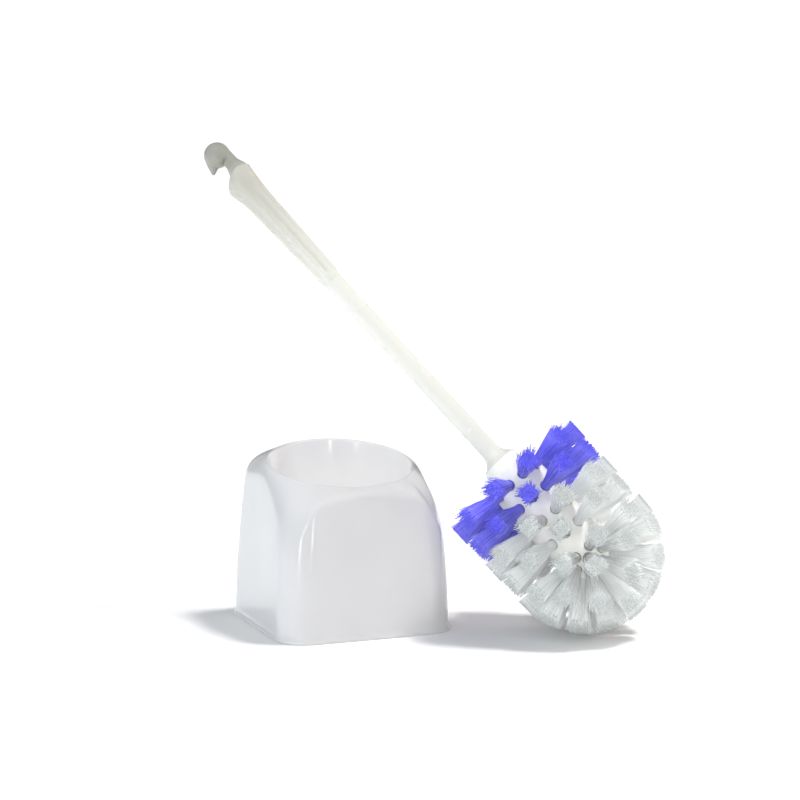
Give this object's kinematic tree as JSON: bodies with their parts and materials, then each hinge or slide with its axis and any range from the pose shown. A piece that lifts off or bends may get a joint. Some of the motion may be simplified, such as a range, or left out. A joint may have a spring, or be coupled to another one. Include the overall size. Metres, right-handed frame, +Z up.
{
  "type": "toilet brush holder",
  "caption": "Free-standing toilet brush holder: a round cup in a rounded square shell, with its hooked, long-handled brush standing beside it.",
  "frame": {"origin": "centre of the holder's underside, on the surface that it stands on", "axes": "+Z up; the holder's front, where its mouth is lowest, faces -Y; +X is the side where the brush's head stands"},
  "size_m": [0.2251, 0.225, 0.2813],
  "materials": {
    "holder_plastic": "glossy white moulded polypropylene",
    "handle_plastic": "soft-gloss cream plastic",
    "core_plastic": "bright white satin plastic",
    "blue_bristle": "blue plastic filament",
    "clear_bristle": "clear to greyish white plastic filament"
  },
  "bodies": {
    "holder": {"holder_shell": "holder_plastic"},
    "brush": {"hanging_hook": "handle_plastic", "handle_grip": "handle_plastic", "handle_shaft": "handle_plastic", "brush_core": "core_plastic", "blue_tuft_01": "blue_bristle", "blue_tuft_02": "blue_bristle", "blue_tuft_03": "blue_bristle", "blue_tuft_04": "blue_bristle", "blue_tuft_05": "blue_bristle", "blue_tuft_06": "blue_bristle", "blue_tuft_07": "blue_bristle", "blue_tuft_08": "blue_bristle", "blue_tuft_09": "blue_bristle", "blue_tuft_10": "blue_bristle", "blue_tuft_11": "blue_bristle", "blue_tuft_12": "blue_bristle", "blue_tuft_13": "blue_bristle", "blue_tuft_14": "blue_bristle", "blue_tuft_15": "blue_bristle", "blue_tuft_16": "blue_bristle", "blue_tuft_17": "blue_bristle", "blue_tuft_18": "blue_bristle", "blue_tuft_19": "blue_bristle", "blue_tuft_20": "blue_bristle", "clear_tuft_01": "clear_bristle", "clear_tuft_02": "clear_bristle", "clear_tuft_03": "clear_bristle", "clear_tuft_04": "clear_bristle", "clear_tuft_05": "clear_bristle", "clear_tuft_06": "clear_bristle", "clear_tuft_07": "clear_bristle", "clear_tuft_08": "clear_bristle", "clear_tuft_09": "clear_bristle", "clear_tuft_10": "clear_bristle", "clear_tuft_11": "clear_bristle", "clear_tuft_12": "clear_bristle", "clear_tuft_13": "clear_bristle", "clear_tuft_14": "clear_bristle", "clear_tuft_15": "clear_bristle", "clear_tuft_16": "clear_bristle", "clear_tuft_17": "clear_bristle", "clear_tuft_18": "clear_bristle", "clear_tuft_19": "clear_bristle", "clear_tuft_20": "clear_bristle", "clear_tuft_21": "clear_bristle", "clear_tuft_22": "clear_bristle", "clear_tuft_23": "clear_bristle", "clear_tuft_24": "clear_bristle", "clear_tuft_25": "clear_bristle", "clear_tuft_26": "clear_bristle", "clear_tuft_27": "clear_bristle", "clear_tuft_28": "clear_bristle", "clear_tuft_29": "clear_bristle", "clear_tuft_30": "clear_bristle", "end_tufts_1": "clear_bristle", "end_tufts_2": "clear_bristle", "end_tufts_3": "clear_bristle", "end_tufts_4": "clear_bristle", "end_tufts_5": "clear_bristle"}
  },
  "joints": [
    {"name": "brush_lift", "type": "slide", "parent": "holder", "child": "brush", "axis": [0, 0, 1], "range_m": [0, 0.12]}
  ]
}
